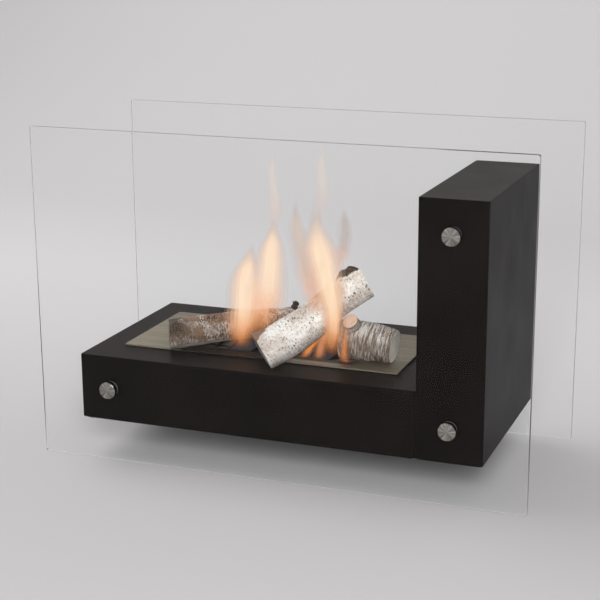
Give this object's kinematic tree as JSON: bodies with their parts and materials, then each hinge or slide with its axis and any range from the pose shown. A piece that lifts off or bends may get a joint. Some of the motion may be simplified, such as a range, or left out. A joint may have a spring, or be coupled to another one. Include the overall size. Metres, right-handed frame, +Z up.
{
  "type": "bioethanol fireplace",
  "caption": "Free-standing bioethanol fireplace: black steel hearth and column between two clear glass panes, with a lift-out burner, a flame shutter and loose ceramic logs.",
  "frame": {"origin": "on the floor, midway between the outermost faces in X and in Y", "axes": "+X along the panes towards the column, the front faces -Y, +Z up"},
  "size_m": [0.75, 0.3404, 0.5],
  "materials": {
    "pane_glass": "clear toughened float glass with polished edges",
    "polished_cap": "turned and polished stainless",
    "clear_silicone": "translucent silicone",
    "nylon": "natural nylon",
    "black_rubber": "matt",
    "zinc_steel": "zinc plated",
    "black_steel": "satin black powder coat, slightly warm",
    "stainless": "brushed along the length",
    "seal_fibre": "black fibre tape",
    "ceramic_wool": "white felted fibre",
    "birch_ceramic": "matt, painted as birch bark"
  },
  "bodies": {
    "frame": {"front_glass": "pane_glass", "rear_glass": "pane_glass", "cap_front_hearth": "polished_cap", "cap_front_column_low": "polished_cap", "cap_front_column_high": "polished_cap", "cap_rear_hearth": "polished_cap", "cap_rear_column_low": "polished_cap", "cap_rear_column_high": "polished_cap", "outer_gasket_front_hearth": "clear_silicone", "outer_gasket_front_column_low": "clear_silicone", "outer_gasket_front_column_high": "clear_silicone", "outer_gasket_rear_hearth": "clear_silicone", "outer_gasket_rear_column_low": "clear_silicone", "outer_gasket_rear_column_high": "clear_silicone", "sleeve_front_hearth": "nylon", "sleeve_front_column_low": "nylon", "sleeve_front_column_high": "nylon", "sleeve_rear_hearth": "nylon", "sleeve_rear_column_low": "nylon", "sleeve_rear_column_high": "nylon", "inner_gasket_front_hearth": "black_rubber", "inner_gasket_front_column_low": "black_rubber", "inner_gasket_front_column_high": "black_rubber", "inner_gasket_rear_hearth": "black_rubber", "inner_gasket_rear_column_low": "black_rubber", "inner_gasket_rear_column_high": "black_rubber", "rivet_nut_front_hearth": "zinc_steel", "rivet_nut_front_column_low": "zinc_steel", "rivet_nut_front_column_high": "zinc_steel", "rivet_nut_rear_hearth": "zinc_steel", "rivet_nut_rear_column_low": "zinc_steel", "rivet_nut_rear_column_high": "zinc_steel", "hearth_cover_screw_1": "zinc_steel", "hearth_cover_screw_2": "zinc_steel", "hearth_cover_screw_3": "zinc_steel", "hearth_cover_screw_4": "zinc_steel", "column_cover_screw_1": "zinc_steel", "column_cover_screw_2": "zinc_steel", "seam_bolt_1": "zinc_steel", "seam_bolt_2": "zinc_steel", "seam_nut_1": "zinc_steel", "seam_nut_2": "zinc_steel", "hearth_casing": "black_steel", "column_casing": "black_steel", "hearth_cover": "black_steel", "column_cover": "black_steel"},
    "burner": {"burner_tray": "stainless", "burner_seal": "seal_fibre", "overflow_pan": "stainless", "fuel_tank": "stainless", "ceramic_wool": "ceramic_wool", "wool_grid": "stainless", "shutter_rail_front": "stainless", "shutter_rail_rear": "stainless", "burner_deck": "stainless"},
    "shutter": {"shutter": "stainless"},
    "long_log": {"long_log": "birch_ceramic"},
    "short_log": {"short_log": "birch_ceramic"},
    "leaning_log": {"leaning_log": "birch_ceramic"}
  },
  "joints": [
    {"name": "burner_lift", "type": "slide", "parent": "frame", "child": "burner", "axis": [0, 0, 1], "range_m": [0, 0.11]},
    {"name": "shutter_slide", "type": "slide", "parent": "burner", "child": "shutter", "axis": [1, 0, 0], "range_m": [0, 0.032]},
    {"name": "long_log_lift", "type": "slide", "parent": "burner", "child": "long_log", "axis": [0, 0, 1], "range_m": [0, 0.15]},
    {"name": "short_log_lift", "type": "slide", "parent": "burner", "child": "short_log", "axis": [0, 0, 1], "range_m": [0, 0.15]},
    {"name": "leaning_log_lift", "type": "slide", "parent": "short_log", "child": "leaning_log", "axis": [0, 0, 1], "range_m": [0, 0.15]}
  ]
}
